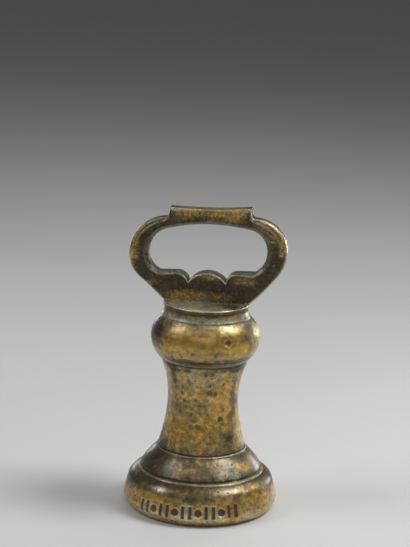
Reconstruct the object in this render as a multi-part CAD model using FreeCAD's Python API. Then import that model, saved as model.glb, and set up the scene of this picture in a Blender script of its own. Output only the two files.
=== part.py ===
"""A bell-shaped bronze scale weight: a turned body, a cast loop handle whose tang is riveted
over a rove inside the foot, and the adjusting lead that closes the foot.

Millimetres, +Z up along the turning axis, origin at the middle of the foot on the scale pan.
The flat of the handle lies in the XZ plane.
"""

import FreeCAD, Part

import math
import os

# Turned body, listed from the foot upwards: heights of the mouldings
SKIRT_HEIGHT = 19.4
SKIRT_SWELL_HEIGHT = 6.8
SKIRT_SIDE_HEIGHT = 7.7
LOWER_COVE_HEIGHT = 2.2
TIER_HEIGHT = 9.2
UPPER_COVE_HEIGHT = 1.4
WAIST_HEIGHT = 43.8
NECKING_HEIGHT = 2.0
BULB_RISE = 10.5
BULB_FALL = 11.1
NECK_HEIGHT = 5.2
RIM_HEIGHT = 1.8

# Turned body: the three radii that set its shape, and what each moulding stands out or in from them
SKIRT_RADIUS = 39.0
FOOT_TUCK = 2.8
SKIRT_TAPER = 2.0
SKIRT_SHOULDER = 5.0
LOWER_LEDGE = 1.3
WAIST_RADIUS = 18.0
WAIST_LOWER_FLARE = 4.2
UPPER_LEDGE = 0.7
WAIST_UPPER_FLARE = 3.6
BULB_LIP = 0.6
BULB_SWELL = 5.4
RIM_RADIUS = 21.6
RIM_LIP = 0.4
NECK_FLARE = 1.0

# Turned body: where the poles of the waist's curve lie, as shares of the waist's height
WAIST_POLE_SHARES = (0.43, 0.72)

# Turned body: small turned edges
RIM_EDGE = 0.3
FOOT_RING_WIDTH = 6.0
FOOT_RECESS_DEPTH = 1.6
FOOT_RECESS_SLOPE = 1.2

# Adjusting cavity in the foot: a mouth, and a wider chamber over it so that the lead can't fall out
MOUTH_RADIUS = 12.0
MOUTH_DEPTH = 8.0
CHAMBER_UNDERCUT = 2.5
CHAMBER_DEPTH = 16.0
LEAD_SHRINKAGE = 0.05

# Loop of the handle: heights above the top of the body
PLATE_THICKNESS = 8.2
SILL_HEIGHT = 15.6
OPENING_HEIGHT = 24.6
OPENING_HALF_WIDTH = 30.0
OPENING_CROWN_RISE = 2.0
OPENING_END_DIP = 1.7
ARM_WIDTH = 10.0
ARM_OUTER_RADIUS = 18.0
BAR_DEPTH = 3.3
OUTER_EDGE_BEVEL = 1.4
OPENING_BEVEL = 1.8

# Scalloped sill of the loop
NOTCH_HALF_SPACING = 9.6
NOTCH_DEPTH = 4.9
SIDE_LOBE_RADIUS = 5.7

# Raised saddle on the loop's top bar
SADDLE_HALF_WIDTH = 20.5
SADDLE_HEIGHT = 5.1
SADDLE_DIP = 0.9
SADDLE_END_FLARE = 1.9
SADDLE_END_HOLLOW = 0.6
SADDLE_EDGE = 0.5

# Tenon that keeps the handle from turning, and the tang that holds it down
TENON_WIDTH = 28.0
TENON_THICKNESS = 5.0
TENON_DEPTH = 6.0
TENON_CLEARANCE = 0.1
TANG_RADIUS = 4.5
TANG_CLEARANCE = 0.1

# Rivet head formed on the tang, and the rove under it
ROVE_RADIUS = 9.0
ROVE_THICKNESS = 2.0
ROVE_CLEARANCE = 0.1
RIVET_RADIUS = 7.2
RIVET_HEIGHT = 3.2

# How far a cutting tool runs past the face that it cuts
OVERRUN = 1.0

FULL_TURN = 360
TURNING_AXIS = FreeCAD.Vector(0, 0, 1)
ALONG_X = FreeCAD.Vector(1, 0, 0)
ALONG_Y = FreeCAD.Vector(0, 1, 0)

# Radii of the body's mouldings
FOOT_RADIUS = SKIRT_RADIUS - FOOT_TUCK
SKIRT_SIDE_RADIUS = SKIRT_RADIUS - SKIRT_TAPER
SKIRT_TOP_RADIUS = SKIRT_SIDE_RADIUS - SKIRT_SHOULDER
TIER_BASE_RADIUS = SKIRT_TOP_RADIUS - LOWER_LEDGE
WAIST_BASE_RADIUS = WAIST_RADIUS + WAIST_LOWER_FLARE
TIER_TOP_RADIUS = WAIST_BASE_RADIUS + UPPER_LEDGE
NECKING_RADIUS = WAIST_RADIUS + WAIST_UPPER_FLARE
BULB_BASE_RADIUS = NECKING_RADIUS + BULB_LIP
BULB_RADIUS = BULB_BASE_RADIUS + BULB_SWELL
NECK_RADIUS = RIM_RADIUS - RIM_LIP
BULB_TOP_RADIUS = NECK_RADIUS + NECK_FLARE
CHAMBER_RADIUS = MOUTH_RADIUS + CHAMBER_UNDERCUT

# Levels of the body's mouldings
LOWER_COVE_LEVEL = SKIRT_HEIGHT
TIER_LEVEL = LOWER_COVE_LEVEL + LOWER_COVE_HEIGHT
UPPER_COVE_LEVEL = TIER_LEVEL + TIER_HEIGHT
WAIST_LEVEL = UPPER_COVE_LEVEL + UPPER_COVE_HEIGHT
NECKING_LEVEL = WAIST_LEVEL + WAIST_HEIGHT
BULB_LEVEL = NECKING_LEVEL + NECKING_HEIGHT
BULB_WIDEST_LEVEL = BULB_LEVEL + BULB_RISE
NECK_LEVEL = BULB_WIDEST_LEVEL + BULB_FALL
RIM_LEVEL = NECK_LEVEL + NECK_HEIGHT
BODY_TOP = RIM_LEVEL + RIM_HEIGHT
CHAMBER_LEVEL = FOOT_RECESS_DEPTH + MOUTH_DEPTH
ROVE_LEVEL = CHAMBER_LEVEL + CHAMBER_DEPTH - ROVE_THICKNESS

# Levels and centres of the handle's loop
SILL_LEVEL = BODY_TOP + SILL_HEIGHT
NOTCH_LEVEL = SILL_LEVEL - NOTCH_DEPTH
CROWN_LEVEL = SILL_LEVEL + OPENING_HEIGHT
BAR_LEVEL = CROWN_LEVEL + BAR_DEPTH
OPENING_END_RADIUS = (OPENING_HEIGHT - OPENING_CROWN_RISE + OPENING_END_DIP) / 2
OPENING_END_LEVEL = CROWN_LEVEL - OPENING_CROWN_RISE - OPENING_END_RADIUS
OPENING_END_CENTRE = OPENING_HALF_WIDTH - OPENING_END_RADIUS
ARM_CENTRE = OPENING_HALF_WIDTH + ARM_WIDTH - ARM_OUTER_RADIUS
ARM_LEVEL = BAR_LEVEL - ARM_OUTER_RADIUS


def at(across, up, depth=0):
    """A point of a side view: across is X, or the radius of a turned profile, and up is Z."""
    return FreeCAD.Vector(across, depth, up)


def line(start, end):
    """A straight edge."""
    return Part.LineSegment(start, end).toShape()


def arc(start, through, end):
    """A circular edge through three points."""
    return Part.Arc(start, through, end).toShape()


def tangent_arc(start, before, end):
    """A circular edge that goes on from the line through before and start, and ends at end."""
    along = (start - before).normalize()
    across = at(-along.z, along.x)
    chord = end - start
    centre = start + across * (chord.Length ** 2 / (2 * chord.dot(across)))
    outward = ((start + end) / 2 - centre).normalize()
    return arc(start, centre + outward * start.distanceToPoint(centre), end)


def mirrored(edges):
    """The same edges on the other side of the YZ plane."""
    return [edge.mirror(at(0, 0), ALONG_X) for edge in edges]


def tangent_point(start, centre, radius):
    """Where a line from start touches a circle on its right."""
    to_centre = centre - start
    reach = to_centre.Length
    slope = math.atan2(to_centre.z, to_centre.x) - math.asin(radius / reach)
    run = math.sqrt(reach ** 2 - radius ** 2)
    return start + at(run * math.cos(slope), run * math.sin(slope))


def waist():
    """The hollow of the waist: a cubic curve whose middle is the narrowest radius of the body.

    The middle of such a curve is an eighth of its two ends and three eighths of its two poles.
    """
    start = at(WAIST_BASE_RADIUS, WAIST_LEVEL)
    end = at(NECKING_RADIUS, NECKING_LEVEL)
    pole_radius = (8 * WAIST_RADIUS - start.x - end.x) / 6
    poles = [at(pole_radius, WAIST_LEVEL + share * WAIST_HEIGHT) for share in WAIST_POLE_SHARES]
    curve = Part.BezierCurve()
    curve.setPoles([start, *poles, end])
    return curve.toShape()


def turned_profile():
    """The outline of the body from the foot ring to the top, one moulding after another."""
    foot = at(FOOT_RADIUS, 0)
    skirt = at(SKIRT_RADIUS, SKIRT_SWELL_HEIGHT)
    skirt_side = at(SKIRT_SIDE_RADIUS, SKIRT_SWELL_HEIGHT + SKIRT_SIDE_HEIGHT)
    skirt_top = at(SKIRT_TOP_RADIUS, LOWER_COVE_LEVEL)
    tier_base = at(TIER_BASE_RADIUS, TIER_LEVEL)
    tier_top = at(TIER_TOP_RADIUS, UPPER_COVE_LEVEL)
    waist_base = at(WAIST_BASE_RADIUS, WAIST_LEVEL)
    necking_top = at(NECKING_RADIUS, BULB_LEVEL)
    bulb_base = at(BULB_BASE_RADIUS, BULB_LEVEL)
    bulb = at(BULB_RADIUS, BULB_WIDEST_LEVEL)
    bulb_top = at(BULB_TOP_RADIUS, NECK_LEVEL)
    neck_top = at(NECK_RADIUS, RIM_LEVEL)
    rim_base = at(RIM_RADIUS, RIM_LEVEL)
    rim_side = at(RIM_RADIUS, BODY_TOP - RIM_EDGE)
    rim_top = at(RIM_RADIUS - RIM_EDGE, BODY_TOP)
    return [
        tangent_arc(skirt, skirt_side, foot),
        line(skirt, skirt_side),
        tangent_arc(skirt_side, skirt, skirt_top),
        line(skirt_top, tier_base),
        line(tier_base, tier_top),
        line(tier_top, waist_base),
        waist(),
        line(at(NECKING_RADIUS, NECKING_LEVEL), necking_top),
        line(necking_top, bulb_base),
        arc(bulb_base, bulb, bulb_top),
        line(bulb_top, neck_top),
        line(neck_top, rim_base),
        line(rim_base, rim_side),
        line(rim_side, rim_top),
        line(rim_top, at(0, BODY_TOP)),
        line(at(0, BODY_TOP), at(0, 0)),
        line(at(0, 0), foot),
    ]


def turned(edges):
    """The solid that a closed half outline makes when it turns about the axis."""
    wire = Part.Wire(Part.__sortEdges__(edges))
    return Part.Face(wire).revolve(at(0, 0), TURNING_AXIS, FULL_TURN)


def cavity(shrinkage):
    """The space for the adjusting lead, or with a shrinkage the lead's own outside."""
    floor = at(0, FOOT_RECESS_DEPTH)
    shelf = at(0, CHAMBER_LEVEL + shrinkage)
    mouth = Part.makeCylinder(MOUTH_RADIUS - shrinkage, MOUTH_DEPTH + shrinkage, floor)
    chamber = Part.makeCylinder(CHAMBER_RADIUS - shrinkage, CHAMBER_DEPTH - 2 * shrinkage, shelf)
    return mouth.fuse(chamber)


def foot_recess():
    """The shallow dish that leaves the body standing on its foot ring."""
    mouth = FOOT_RADIUS - FOOT_RING_WIDTH
    return Part.makeCone(mouth, mouth - FOOT_RECESS_SLOPE, FOOT_RECESS_DEPTH)


def tenon(clearance):
    """The tongue under the loop, or with a clearance the mortise that takes it."""
    width = TENON_WIDTH + 2 * clearance
    thickness = TENON_THICKNESS + 2 * clearance
    depth = TENON_DEPTH + clearance
    return Part.makeBox(width, thickness, depth, at(-width / 2, BODY_TOP - depth, -thickness / 2))


def tang(clearance):
    """The round shank from the tenon down through the rove, or with a clearance its bore."""
    return Part.makeCylinder(TANG_RADIUS + clearance, BODY_TOP - ROVE_LEVEL, at(0, ROVE_LEVEL))


def rove_disc():
    """The outside of the rove, which lies against the roof of the cavity."""
    return Part.makeCylinder(ROVE_RADIUS, ROVE_THICKNESS, at(0, ROVE_LEVEL))


def rivet_head():
    """The flat head hammered out on the end of the tang, closed on the rove."""
    return Part.makeCylinder(RIVET_RADIUS, RIVET_HEIGHT, at(0, ROVE_LEVEL - RIVET_HEIGHT))


def make_bell_body():
    """The turned body with its foot dish, lead cavity, bore and mortise."""
    body = turned(turned_profile())
    for space in (foot_recess(), cavity(0), tang(TANG_CLEARANCE), tenon(TENON_CLEARANCE)):
        body = body.cut(space)
    return body


def plate_outline():
    """The outer edge of the handle: foot, two straight flanks, two round arms and the top bar."""
    foot = at(RIM_RADIUS - RIM_EDGE, BODY_TOP)
    touch = tangent_point(foot, at(ARM_CENTRE, ARM_LEVEL), ARM_OUTER_RADIUS)
    side = at(ARM_CENTRE + ARM_OUTER_RADIUS, ARM_LEVEL)
    shoulder = at(ARM_CENTRE, BAR_LEVEL)
    right = [line(foot, touch), arc(touch, side, shoulder)]
    top = line(shoulder, at(-shoulder.x, shoulder.z))
    base = line(at(-foot.x, foot.z), foot)
    return Part.Wire(Part.__sortEdges__([*right, *mirrored(right), top, base]))


def crown_and_ends(widening):
    """The two round ends of the opening, down to its sill, and its arched top, grown by a widening."""
    end = at(OPENING_END_CENTRE, OPENING_END_LEVEL)
    radius = OPENING_END_RADIUS + widening
    drop = OPENING_END_LEVEL - CROWN_LEVEL
    arch = OPENING_END_RADIUS ** 2 - end.x ** 2 - drop ** 2
    arch = arch / (2 * (drop + OPENING_END_RADIUS))
    middle = at(0, CROWN_LEVEL - arch)
    ray = (end - middle).normalize()
    join = middle + ray * (arch + widening)
    corner = at(end.x + math.sqrt(radius ** 2 - (end.z - SILL_LEVEL) ** 2), SILL_LEVEL)
    side = at(end.x + radius, end.z)
    crown = at(0, CROWN_LEVEL + widening)
    right = [arc(corner, side, join)]
    top = arc(join, crown, at(-join.x, join.z))
    return corner, [*right, *mirrored(right), top]


def opening_outline():
    """The edge of the finger opening, with the round middle lobe and two flat side lobes of its sill."""
    corner, edges = crown_and_ends(0)
    notch = at(NOTCH_HALF_SPACING, NOTCH_LEVEL)
    lobe_reach = math.sqrt(2 * SIDE_LOBE_RADIUS * NOTCH_DEPTH - NOTCH_DEPTH ** 2)
    lobe_start = at(notch.x + lobe_reach, SILL_LEVEL)
    half_turn = math.asin(lobe_reach / SIDE_LOBE_RADIUS) / 2
    lobe_side = at(
        lobe_start.x - SIDE_LOBE_RADIUS * math.sin(half_turn),
        SILL_LEVEL - SIDE_LOBE_RADIUS * (1 - math.cos(half_turn)),
    )
    right = [arc(notch, lobe_side, lobe_start), line(lobe_start, corner)]
    middle = arc(notch, at(0, SILL_LEVEL), at(-notch.x, notch.z))
    return Part.Wire(Part.__sortEdges__([*edges, *right, *mirrored(right), middle]))


def slab(wire, thickness):
    """A flat solid of an outline, centred on the XZ plane."""
    face = Part.Face(wire)
    face.translate(ALONG_Y * (-thickness / 2))
    return face.extrude(ALONG_Y * thickness)


def bevel_tool(side):
    """The cutter that bevels the opening's edge on the front, side -1, or on the back, side 1."""
    wires = []
    for widening in (-OPENING_BEVEL / 2, OPENING_BEVEL + OVERRUN):
        corner, edges = crown_and_ends(widening)
        edges.append(line(at(-corner.x, corner.z), corner))
        wire = Part.Wire(Part.__sortEdges__(edges))
        wire.translate(ALONG_Y * side * (PLATE_THICKNESS / 2 - OPENING_BEVEL + widening))
        wires.append(wire)
    return Part.makeLoft(wires, True, True)


def saddle():
    """The raised grip on the top bar, hollow along its top and at its two ends."""
    base = at(SADDLE_HALF_WIDTH + SADDLE_END_FLARE, BAR_LEVEL - BAR_DEPTH / 2)
    tip = at(SADDLE_HALF_WIDTH, BAR_LEVEL + SADDLE_HEIGHT)
    across = (tip + base) / 2 - at(SADDLE_END_HOLLOW, 0)
    top = at(0, tip.z - SADDLE_DIP)
    right = [arc(base, across, tip)]
    grip = arc(tip, top, at(-tip.x, tip.z))
    bottom = line(at(-base.x, base.z), base)
    block = slab(Part.Wire(Part.__sortEdges__([*right, *mirrored(right), grip, bottom])), PLATE_THICKNESS)
    upper = [
        edge for edge in block.Edges
        if edge.CenterOfMass.z > BAR_LEVEL + SADDLE_HEIGHT - 2 * SADDLE_DIP
        and abs(edge.CenterOfMass.y) > PLATE_THICKNESS / 2 - SADDLE_EDGE
    ]
    return block.makeChamfer(SADDLE_EDGE, upper)


def make_handle():
    """The cast loop with its eased arms, bevelled opening and saddle, and its tenon and riveted tang."""
    plate = slab(plate_outline(), PLATE_THICKNESS)
    eased = [
        edge for edge in plate.Edges
        if abs(edge.CenterOfMass.y) > PLATE_THICKNESS / 2 - OUTER_EDGE_BEVEL
        and edge.BoundBox.ZMax > BODY_TOP + OUTER_EDGE_BEVEL
    ]
    loop = plate.makeChamfer(OUTER_EDGE_BEVEL, eased)
    loop = loop.cut(slab(opening_outline(), PLATE_THICKNESS + 2 * OVERRUN))
    for side in (-1, 1):
        loop = loop.cut(bevel_tool(side))
    return loop.fuse([saddle(), tenon(0), tang(0), rivet_head()]).removeSplitter()


def make_rove():
    """The washer that the rivet head is closed on."""
    return rove_disc().cut(tang(ROVE_CLEARANCE))


def make_lead_plug():
    """The adjusting lead, run in round the rivet and the rove."""
    return cavity(LEAD_SHRINKAGE).cut([rove_disc(), rivet_head()])


def main():
    """Builds every piece and writes one STEP file for each."""
    pieces = {
        "bell_body": make_bell_body(),
        "handle": make_handle(),
        "rove": make_rove(),
        "lead_plug": make_lead_plug(),
    }
    os.makedirs("parts", exist_ok=True)
    for name, shape in pieces.items():
        shape.exportStep(f"parts/{name}.step")
        print(name, len(shape.Solids), "solid", shape.isValid(), round(shape.Volume / 1000, 2), "cm3")


main()
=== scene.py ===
# %% [markdown]
# # A bell-shaped bronze weight
# The object is a weight of a balance: a turned bell of bronze with a cast loop to lift it by. It is
# old, so its looks are made of wear. Hands have rubbed the swellings to gold, brown patina has stayed
# on the flats, and the turned hollows hold a pale grey-green bloom. The lesson builds every visible
# surface as a numpy grid around the fixed CAD frame, and then paints it with node groups.

# %% The frame
import math

import bpy
import numpy as np
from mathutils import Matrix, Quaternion, Vector


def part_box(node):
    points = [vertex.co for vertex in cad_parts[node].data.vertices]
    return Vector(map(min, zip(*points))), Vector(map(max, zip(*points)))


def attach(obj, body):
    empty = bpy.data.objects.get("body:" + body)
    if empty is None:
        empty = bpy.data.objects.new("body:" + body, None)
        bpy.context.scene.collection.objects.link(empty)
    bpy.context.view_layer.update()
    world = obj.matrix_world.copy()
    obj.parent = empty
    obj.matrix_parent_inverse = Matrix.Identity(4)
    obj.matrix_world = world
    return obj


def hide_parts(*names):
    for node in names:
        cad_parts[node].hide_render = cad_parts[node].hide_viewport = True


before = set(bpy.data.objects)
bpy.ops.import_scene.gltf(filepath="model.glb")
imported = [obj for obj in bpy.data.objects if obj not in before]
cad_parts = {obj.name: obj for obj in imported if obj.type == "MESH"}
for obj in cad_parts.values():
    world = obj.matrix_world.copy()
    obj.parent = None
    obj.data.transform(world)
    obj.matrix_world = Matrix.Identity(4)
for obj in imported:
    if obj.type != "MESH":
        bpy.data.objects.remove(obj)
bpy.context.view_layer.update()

MM = 0.001
body_high = np.array(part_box("bell_body")[1]) / MM
loop_high = np.array(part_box("handle")[1]) / MM
print("frame nodes:", sorted(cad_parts))

# %% [markdown]
# ## From a grid of points to a mesh
# Blender could spin or extrude these shapes, but a formula on a grid keeps every vertex where we can
# name it, so marks, pits and wear can be worked out for all of them at once. A grid of rows and
# columns becomes quads by numbering alone. Points are in millimetres until the last step.

# %% Grids into meshes
def quads(rows, columns, closed):
    """Corner numbers of the quads of a grid whose columns join up, and whose rows do if it is closed.

    Point (i, j) has the number i * columns + j, and a quad joins (i, j), (i, j + 1), (i + 1, j + 1)
    and (i + 1, j), where the number after the last is the first again.
    """
    i, j = np.meshgrid(np.arange(rows if closed else rows - 1), np.arange(columns), indexing="ij")
    after_i, after_j = (i + 1) % rows, (j + 1) % columns
    corners = [i * columns + j, i * columns + after_j, after_i * columns + after_j, after_i * columns + j]
    return np.stack(corners, -1).reshape(-1, 4)


def fans(rows, columns):
    """Triangles that close the first and last row of a grid to one point each, numbered after the grid."""
    j = np.arange(columns)
    after = (j + 1) % columns
    first, last = np.full(columns, rows * columns), np.full(columns, rows * columns + 1)
    ends = (rows - 1) * columns
    return np.concatenate([np.stack([first, after, j], -1), np.stack([last, ends + j, ends + after], -1)])


def make_piece(name, grid, poles=None, attributes=None):
    """A smooth mesh object of a grid of points in mm, closed by two poles or else by its own rows."""
    rows, columns = grid.shape[:2]
    points = grid.reshape(-1, 3)
    faces = quads(rows, columns, poles is None).tolist()
    if poles is not None:
        points = np.concatenate([points, poles])
        faces += fans(rows, columns).tolist()
    mesh = bpy.data.meshes.new(name)
    mesh.from_pydata((points * MM).tolist(), [], faces)
    mesh.polygons.foreach_set("use_smooth", np.ones(len(mesh.polygons), bool))
    for label, values in (attributes or {}).items():
        flat = np.zeros(len(points), np.float32)
        flat[: rows * columns] = np.clip(values, 0, 1).ravel()
        mesh.attributes.new(label, "FLOAT", "POINT").data.foreach_set("value", flat)
    mesh.update()
    piece = bpy.data.objects.new(name, mesh)
    bpy.context.scene.collection.objects.link(piece)
    print(name, "has", len(mesh.vertices), "points, from", points.min(0).round(1),
          "to", points.max(0).round(1))
    return piece


print("helpers for grids are ready")

# %% [markdown]
# ## Soft steps and random waves
# Nothing on an old casting is quite even, or ends quite sharply. Two functions give this to all that
# follows: a step with a soft edge, and a random field that is smooth because it is a sum of waves.
# Blender's own noise works point by point, and this one works on whole arrays.

# %% Soft steps and random waves
def smooth_step(low, high, value):
    """0 below low, 1 above high, and 3 t^2 - 2 t^3 between them."""
    t = np.clip((value - low) / (high - low), 0, 1)
    return t * t * (3 - 2 * t)


def waves(coordinates, seed, count, reach):
    """A soft random field between about -1 and 1: a sum of sine waves with random directions and phases.

    Reach is the length of the shortest wave, and the longest is four times as long.
    """
    rng = np.random.default_rng(seed)
    field = np.zeros(np.broadcast(*coordinates).shape)
    for _ in range(count):
        direction = rng.normal(size=len(coordinates))
        direction *= 2 * np.pi / (np.linalg.norm(direction) * reach * rng.uniform(1, 4))
        field += np.sin(sum(d * c for d, c in zip(direction, coordinates)) + rng.uniform(0, 2 * np.pi))
    return field / math.sqrt(count)


print("soft steps and random waves are ready")

# %% [markdown]
# ## Lines and curves for outlines
# An outline is made of a few kinds of line: straight runs, a curve drawn towards a point, a hollow
# drawn towards two, and an arc of a circle. In Blender they could be Bezier splines. As arrays of
# points they can be measured, spaced out evenly and blurred, as years of handling blur a real edge.

# %% Lines and curves
SAMPLE = 0.05


def straight(*corners):
    """Points along the straight runs from corner to corner."""
    return np.array(corners, float)


def bend(start, pull, end, count=60):
    """The curve (1 - t)^2 start + 2 t (1 - t) pull + t^2 end, drawn towards pull."""
    t = np.linspace(0, 1, count)[:, None]
    start, pull, end = (np.array(point) for point in (start, pull, end))
    return (1 - t) ** 2 * start + 2 * t * (1 - t) * pull + t ** 2 * end


def hollow(start, pulls, end, count=200):
    """The cubic curve from start to end that is drawn towards two points on its way."""
    t = np.linspace(0, 1, count)[:, None]
    start, first, second, end = (np.array(point) for point in (start, *pulls, end))
    early = (1 - t) ** 3 * start + 3 * t * (1 - t) ** 2 * first
    return early + 3 * t ** 2 * (1 - t) * second + t ** 3 * end


def ball(start, middle, end, count=160):
    """The circular arc through three points: its centre is as far from all of them."""
    start, middle, end = (np.array(point) for point in (start, middle, end))
    sides = 2 * np.stack([middle - start, end - start])
    centre = np.linalg.solve(sides, [middle @ middle - start @ start, end @ end - start @ start])
    angles = np.unwrap([math.atan2(*(point - centre)[::-1]) for point in (start, middle, end)])
    turn = np.linspace(angles[0], angles[2], count)[:, None]
    return centre + np.linalg.norm(start - centre) * np.hstack([np.cos(turn), np.sin(turn)])


def along(points):
    """The length of the line up to each of its points."""
    return np.concatenate([[0], np.cumsum(np.linalg.norm(np.diff(points, axis=0), axis=1))])


def spaced(points, places):
    """The points of the line at the given lengths along it."""
    length = along(points)
    return np.stack([np.interp(places, length, points[:, k]) for k in range(points.shape[1])], -1)


def blurred(points, width):
    """The line with each point replaced by a bell-curve average of its neighbours, width in mm."""
    reach = int(4 * width / SAMPLE)
    weights = np.exp(-0.5 * (np.arange(-reach, reach + 1) * SAMPLE / width) ** 2)
    padded = np.pad(points, ((reach, reach), (0, 0)), mode="reflect", reflect_type="odd")
    columns = [np.convolve(column, weights / weights.sum(), "valid") for column in padded.T]
    return np.stack(columns, -1)


print("lines and curves are ready, with points", SAMPLE, "mm apart")

# %% [markdown]
# ## The outline of the turned bell
# A turner cuts this shape from a casting on a lathe: a skirt with a round shoulder, a sloping tier, a
# hollow waist, a swelling bulb and a short neck under a flat rim, with a fine ledge or groove between
# each. In Blender it could be a Screw modifier on a curve. Here the outline is a list of straight
# runs and curves, because its corners can then be worn away evenly, by blurring it. Each point is a
# radius and a height. The underside is there too, with the dish in the foot and the lead's cavity.

# %% Outline of the bell
SKIRT_RADIUS = body_high[0]
BODY_TOP = body_high[2]
CORNER_WEAR = 0.15

FOOT = (36.2, 0.0)
FOOT_ROUND_PULL = (SKIRT_RADIUS + 0.7, 3.6)
SKIRT_WIDEST = (SKIRT_RADIUS, 6.8)
SKIRT_SIDE = (37.1, 14.4)
SHOULDER_PULL = (36.3, 17.3)
SKIRT_TOP = (32.2, 19.35)
LOWER_LEDGE = ((31.9, 19.9), (30.9, 20.3), (30.45, 20.35), (30.5, 20.7))
TIER_BASE = (30.75, 21.5)
TIER_PULL = (27.5, 26.8)
TIER_TOP = (23.0, 30.65)
UPPER_LEDGE = ((23.0, 31.1), (22.7, 31.45), (21.95, 31.5))
WAIST_BASE = (22.2, 32.3)
WAIST_PULLS = ((16.7, 51.0), (16.7, 63.7))
WAIST_TOP = (21.7, 76.0)
NECKING = ((21.75, 77.2), (21.6, 77.75))
BULB_BASE = (22.5, 78.0)
BULB_WIDEST = (27.6, 88.5)
BULB_TOP = (22.9, 99.4)
NECK_GROOVE = ((22.6, 99.75), (22.5, 100.05))
NECK_LIP = (22.55, 100.4)
NECK_PULL = (21.3, 101.9)
NECK_TOP = (21.1, 104.5)
RIM = (
    (21.45, 104.75), (21.6, 105.0), (21.6, 106.3), (21.45, BODY_TOP), (21.0, BODY_TOP),
    (20.75, BODY_TOP - 0.3), (20.3, BODY_TOP - 0.25), (19.9, BODY_TOP))

UNDERSIDE = ((14.5, 25.6), (14.5, 9.6), (12.0, 9.6), (12.0, 1.6), (29.0, 1.6), (30.2, 0.0))

sharp_outline = np.concatenate([
    straight((0, UNDERSIDE[0][1]), *UNDERSIDE),
    bend(FOOT, FOOT_ROUND_PULL, SKIRT_WIDEST),
    bend(SKIRT_SIDE, SHOULDER_PULL, SKIRT_TOP),
    straight(*LOWER_LEDGE),
    bend(TIER_BASE, TIER_PULL, TIER_TOP),
    straight(*UPPER_LEDGE),
    hollow(WAIST_BASE, WAIST_PULLS, WAIST_TOP),
    straight(*NECKING),
    ball(BULB_BASE, BULB_WIDEST, BULB_TOP),
    straight(*NECK_GROOVE),
    bend(NECK_LIP, NECK_PULL, NECK_TOP),
    straight(*RIM, (0, BODY_TOP)),
])
even_outline = spaced(sharp_outline, np.arange(0, along(sharp_outline)[-1], SAMPLE))
outline = blurred(even_outline, CORNER_WEAR)
outline_length = along(outline)
print("outline:", len(outline), "points,", round(outline_length[-1], 1), "mm long")

# %% [markdown]
# ## Points where they are needed
# An even grid would waste its points on plain stretches. Subdividing by hand is slow. One trick does
# it for every line here: a density is added up along the line, and the total is cut into equal
# shares, so that points crowd where the density is high.

# %% Points along a line
def read_at(places, lengths, values):
    """Values known at some lengths along a line, read at other places on it."""
    return np.stack([np.interp(places, lengths, column) for column in values.T], -1)


def shared_out(places, density, count):
    """Count places along a line, spaced so that equal amounts of density lie between them."""
    total = np.concatenate([[0], np.cumsum((density[1:] + density[:-1]) / 2 * np.diff(places))])
    return np.interp(np.linspace(0, total[-1], count), total, places)


def outward(points):
    """The normals of an outline: its direction at each point, turned a quarter turn to the right."""
    direction = np.gradient(points, axis=0)
    direction /= np.linalg.norm(direction, axis=1, keepdims=True)
    return np.stack([direction[:, 1], -direction[:, 0]], -1)


print("helpers for points along a line are ready")

# %% [markdown]
# ## Where the rows and columns go
# The rows crowd where the outline turns and where the tally is punched, and the columns crowd on the
# side that carries it. The dish and cavity below, and the disc under the loop, are plain: they get few
# rows, and no dents.

# %% Rows and columns of the bell
BELL_ROWS = 300
BELL_COLUMNS = 330
TALLY_SIDE = math.radians(4)
TALLY_HALF = math.radians(62)
TALLY_LOW, TALLY_HIGH = 3.0, 13.0
CAVITY_RADIUS, CAVITY_TOP = UNDERSIDE[0]
CAVITY_MARGIN = 1.0
DISH_Z = 1.7
PLAIN_TOP_RADIUS, PLAIN_TOP_DEPTH = RIM[0][0] - 2, 0.2
HIDDEN_DENSITY, SHOWN_DENSITY, TURN_DENSITY, TALLY_DENSITY = 0.2, 0.8, 1.6, 1.2
SHARPEST_TURN = 1.5
CROWDING, CROWD_FADE = 2.4, 1.3


def underneath(r, z, inset=0.0):
    """True on the faces that are only seen from below: the dish in the foot, and the cavity."""
    in_dish = (z < DISH_Z) & (r < FOOT[0] - inset)
    return in_dish | (r < CAVITY_RADIUS + CAVITY_MARGIN) & (z < CAVITY_TOP + CAVITY_MARGIN)


def shown_part(r, z):
    """True on the faces that take dents and marks: neither underneath nor the plain middle of the top."""
    plain_top = (z > BODY_TOP - PLAIN_TOP_DEPTH) & (r < PLAIN_TOP_RADIUS)
    return ~(underneath(r, z) | plain_top)


normals = outward(outline)
turning = np.linalg.norm(np.gradient(normals, axis=0), axis=1) / SAMPLE
in_tally = (outline[:, 0] > FOOT[0]) & (outline[:, 1] > TALLY_LOW) & (outline[:, 1] < TALLY_HIGH)
row_density = HIDDEN_DENSITY + shown_part(*outline.T) * (
    SHOWN_DENSITY + TURN_DENSITY * np.minimum(turning, SHARPEST_TURN) + TALLY_DENSITY * in_tally)
row_places = shared_out(outline_length, row_density, BELL_ROWS + 2)[1:-1]
row_points = read_at(row_places, outline_length, outline)
row_normals = read_at(row_places, outline_length, normals)

turns = np.linspace(-math.pi, math.pi, 4001)
from_tally = np.abs(turns - TALLY_SIDE)
column_density = 1 + CROWDING * smooth_step(-CROWD_FADE * TALLY_HALF, -TALLY_HALF, -from_tally)
bell_angles = shared_out(turns, column_density, BELL_COLUMNS + 1)[:-1]

radius, height = row_points[:, :1], row_points[:, 1:]
angle = bell_angles[None, :]
shown = shown_part(radius, height)
flat_x, flat_y = radius * np.sin(angle), -radius * np.cos(angle)
print("bell grid:", BELL_ROWS, "rows by", BELL_COLUMNS, "columns")

# %% [markdown]
# ## Pits of the casting
# The casting had gas pits that turning laid open. They could be sculpted or left to a bump map, but a
# bump has no edge against the light. Here each pit is a bell curve of the distance over the surface:
# the way round is the radius times the angle, and the way up is measured along the outline. Waves
# make the distance ragged, so that no pit is quite round. A pit is an angle in degrees, and a height,
# a size and a depth in millimetres.

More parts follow.
